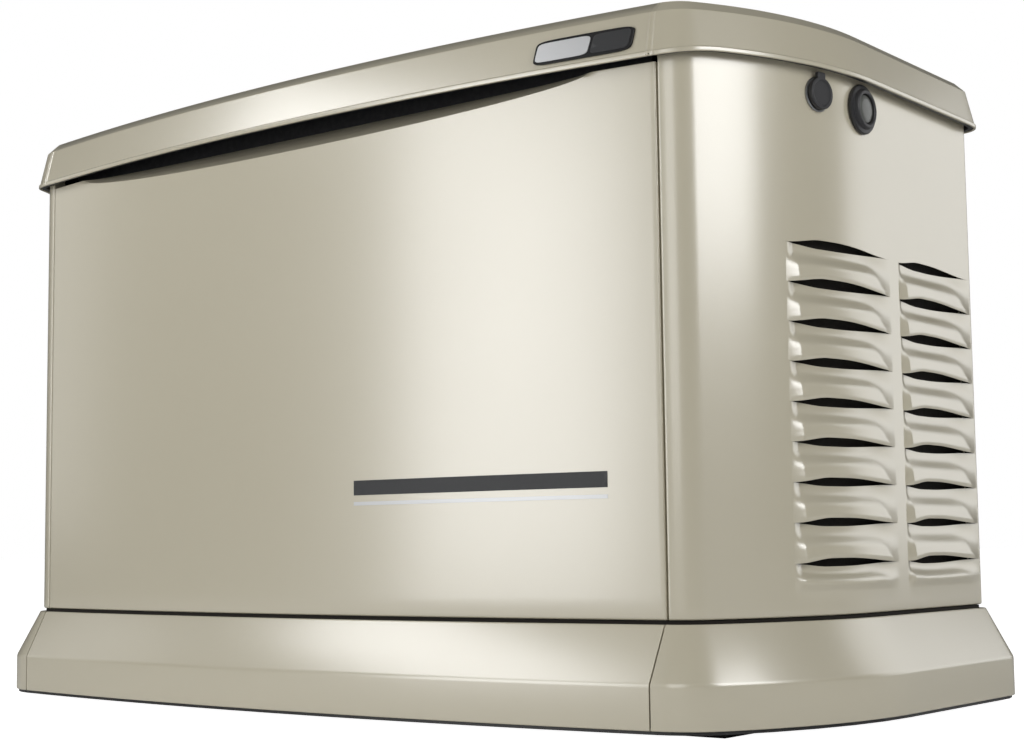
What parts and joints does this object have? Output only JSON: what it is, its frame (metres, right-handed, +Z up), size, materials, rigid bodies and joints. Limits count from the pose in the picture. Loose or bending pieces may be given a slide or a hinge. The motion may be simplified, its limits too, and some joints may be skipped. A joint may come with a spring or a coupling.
{
  "type": "home standby generator",
  "caption": "Low box-shaped standby generator: hinged crowned lid, lift-off front panel, louvred round-cornered ends on a flared base, with engine and alternator inside.",
  "frame": {"origin": "on the ground under the middle of the base", "axes": "+Z up, front panel towards -Y, long way along X, side with the status light at +X"},
  "size_m": [1.218, 0.608, 0.7313],
  "materials": {
    "bisque_paint": "satin textured warm grey-beige powder coat",
    "black_steel": "semi-gloss black powder coat",
    "dark_paint": "satin charcoal paint",
    "galvanized": "zinc-coated sheet, faint spangle",
    "steel": "machined and plated steel",
    "hot_steel": "aluminised steel, heat-tinted",
    "cast_aluminium": "sand-cast, slightly rough",
    "black_plastic": "moulded, fine texture",
    "yellow_plastic": "moulded, service points",
    "red_paint": "gloss red filter can",
    "rubber": "matt black rubber",
    "lens": "frosted grey translucent polycarbonate"
  },
  "bodies": {
    "cabinet": {"fascia_front": "bisque_paint", "fascia_rear": "bisque_paint", "fascia_right": "bisque_paint", "fascia_left": "bisque_paint", "end_cover_right": "bisque_paint", "end_cover_left": "bisque_paint", "rear_panel": "bisque_paint", "base_pan": "black_steel", "valve_cover_front": "black_steel", "valve_cover_rear": "black_steel", "blower_housing": "black_steel", "starter_motor": "black_steel", "top_front_rail": "dark_paint", "stator": "dark_paint", "controller_face": "dark_paint", "exhaust_divider": "galvanized", "control_divider": "galvanized", "control_box": "galvanized", "lock_body_right": "steel", "lock_body_left": "steel", "fuel_inlet": "steel", "muffler": "hot_steel", "exhaust_pipe_front": "hot_steel", "exhaust_pipe_rear": "hot_steel", "crankcase": "cast_aluminium", "cylinder_front": "cast_aluminium", "cylinder_rear": "cast_aluminium", "end_bell": "cast_aluminium", "mixer": "cast_aluminium", "fuel_regulator": "cast_aluminium", "status_light_bezel": "black_plastic", "air_box": "black_plastic", "air_box_cover": "black_plastic", "battery_tray": "black_plastic", "battery": "black_plastic", "main_breaker": "black_plastic", "oil_filter": "red_paint", "foot_front_right": "rubber", "foot_front_left": "rubber", "foot_rear_right": "rubber", "foot_rear_left": "rubber", "fuel_hose": "rubber", "status_light_lens": "lens"},
    "lid": {"lid": "bisque_paint", "lid_badge": "black_plastic", "lid_hinge_leaf_left": "steel", "lid_hinge_leaf_right": "steel"},
    "front_panel": {"front_panel": "bisque_paint"},
    "lock_plug_right": {"lock_plug_right": "steel"},
    "lock_plug_left": {"lock_plug_left": "steel"},
    "lock_cap_right": {"lock_cap_right": "black_plastic"},
    "lock_cap_left": {"lock_cap_left": "black_plastic"},
    "crank": {"flywheel_fan": "black_plastic", "crankshaft_rotor": "steel"},
    "breaker_lever": {"breaker_lever": "black_plastic"},
    "button_auto": {"button_auto": "rubber"},
    "button_off": {"button_off": "rubber"},
    "button_manual": {"button_manual": "rubber"},
    "oil_fill_cap": {"oil_fill_cap": "yellow_plastic"},
    "dipstick": {"dipstick": "yellow_plastic"}
  },
  "joints": [
    {"name": "lid_hinge", "type": "hinge", "parent": "cabinet", "child": "lid", "pos_m": [0, 0.2916, 0.658], "axis": [-1, 0, 0], "range_deg": [0, 95]},
    {"name": "front_panel_slide", "type": "slide", "parent": "cabinet", "child": "front_panel", "axis": [0, -1, 0], "range_m": [0, 0.3]},
    {"name": "breaker_lever_swing", "type": "hinge", "parent": "cabinet", "child": "breaker_lever", "pos_m": [0.3925, -0.169, 0.486], "axis": [-1, 0, 0], "range_deg": [-40, 0]},
    {"name": "crank_spin", "type": "hinge", "parent": "cabinet", "child": "crank", "pos_m": [0, 0.015, 0.33], "axis": [1, 0, 0], "continuous": true},
    {"name": "oil_fill_cap_turn", "type": "hinge", "parent": "cabinet", "child": "oil_fill_cap", "pos_m": [-0.1325, -0.1513, 0.4963], "axis": [0, -0.7071, 0.7071], "range_deg": [0, 90]},
    {"name": "dipstick_pull", "type": "slide", "parent": "cabinet", "child": "dipstick", "axis": [0, 0, 1], "range_m": [0, 0.2]},
    {"name": "button_auto_press", "type": "slide", "parent": "cabinet", "child": "button_auto", "axis": [0, 1, 0], "range_m": [0, 0.0015], "stiffness_N_per_m": 800, "springref_m": -0.0005},
    {"name": "button_off_press", "type": "slide", "parent": "cabinet", "child": "button_off", "axis": [0, 1, 0], "range_m": [0, 0.0015], "stiffness_N_per_m": 800, "springref_m": -0.0005},
    {"name": "button_manual_press", "type": "slide", "parent": "cabinet", "child": "button_manual", "axis": [0, 1, 0], "range_m": [0, 0.0015], "stiffness_N_per_m": 800, "springref_m": -0.0005},
    {"name": "lock_turn_right", "type": "hinge", "parent": "cabinet", "child": "lock_plug_right", "pos_m": [0.56677, -0.078, 0.641], "axis": [0.9777, -0.21, 0], "range_deg": [0, 90]},
    {"name": "lock_cap_flip_right", "type": "hinge", "parent": "cabinet", "child": "lock_cap_right", "pos_m": [0.57215, -0.07915, 0.658], "axis": [-0.21, -0.9777, 0], "range_deg": [0, 90]},
    {"name": "lock_turn_left", "type": "hinge", "parent": "cabinet", "child": "lock_plug_left", "pos_m": [-0.56677, -0.078, 0.641], "axis": [-0.9777, -0.21, 0], "range_deg": [-90, 0]},
    {"name": "lock_cap_flip_left", "type": "hinge", "parent": "cabinet", "child": "lock_cap_left", "pos_m": [-0.57215, -0.07915, 0.658], "axis": [0.21, -0.9777, 0], "range_deg": [-90, 0]}
  ]
}
